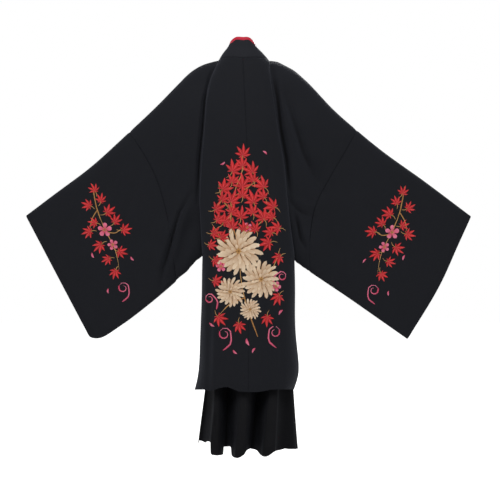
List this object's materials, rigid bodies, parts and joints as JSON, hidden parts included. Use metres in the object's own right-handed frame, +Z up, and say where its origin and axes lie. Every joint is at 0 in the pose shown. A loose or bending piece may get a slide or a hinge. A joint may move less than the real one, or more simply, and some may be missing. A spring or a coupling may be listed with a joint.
{
  "type": "hanfu robe set in its worn form",
  "caption": "Hollow worn form of a robe set: an open coat with wide slanted sleeves over an inner top with a crossed collar and a long folded skirt.",
  "frame": {"origin": "between the shoulders, at the level of the base of the neck, where the wearer's shoulders hold it", "axes": "+Z up, +X to the wearer's left along the sleeves, +Y to the wearer's back, so the front faces -Y"},
  "size_m": [1.5099, 0.3709, 1.3606],
  "materials": {
    "black_cloth": "matt bluish black crepe",
    "red_satin": "soft red satin"
  },
  "bodies": {
    "root": {"coat_body_left": "black_cloth", "coat_body_right": "black_cloth", "coat_sleeve_left": "black_cloth", "coat_sleeve_right": "black_cloth", "coat_collar_band": "black_cloth", "inner_collar_red": "red_satin", "inner_top_back": "black_cloth", "inner_top_front_left": "black_cloth", "inner_top_front_right": "black_cloth", "skirt_waistband": "black_cloth", "skirt_back": "black_cloth", "skirt_front": "black_cloth"}
  },
  "joints": []
}
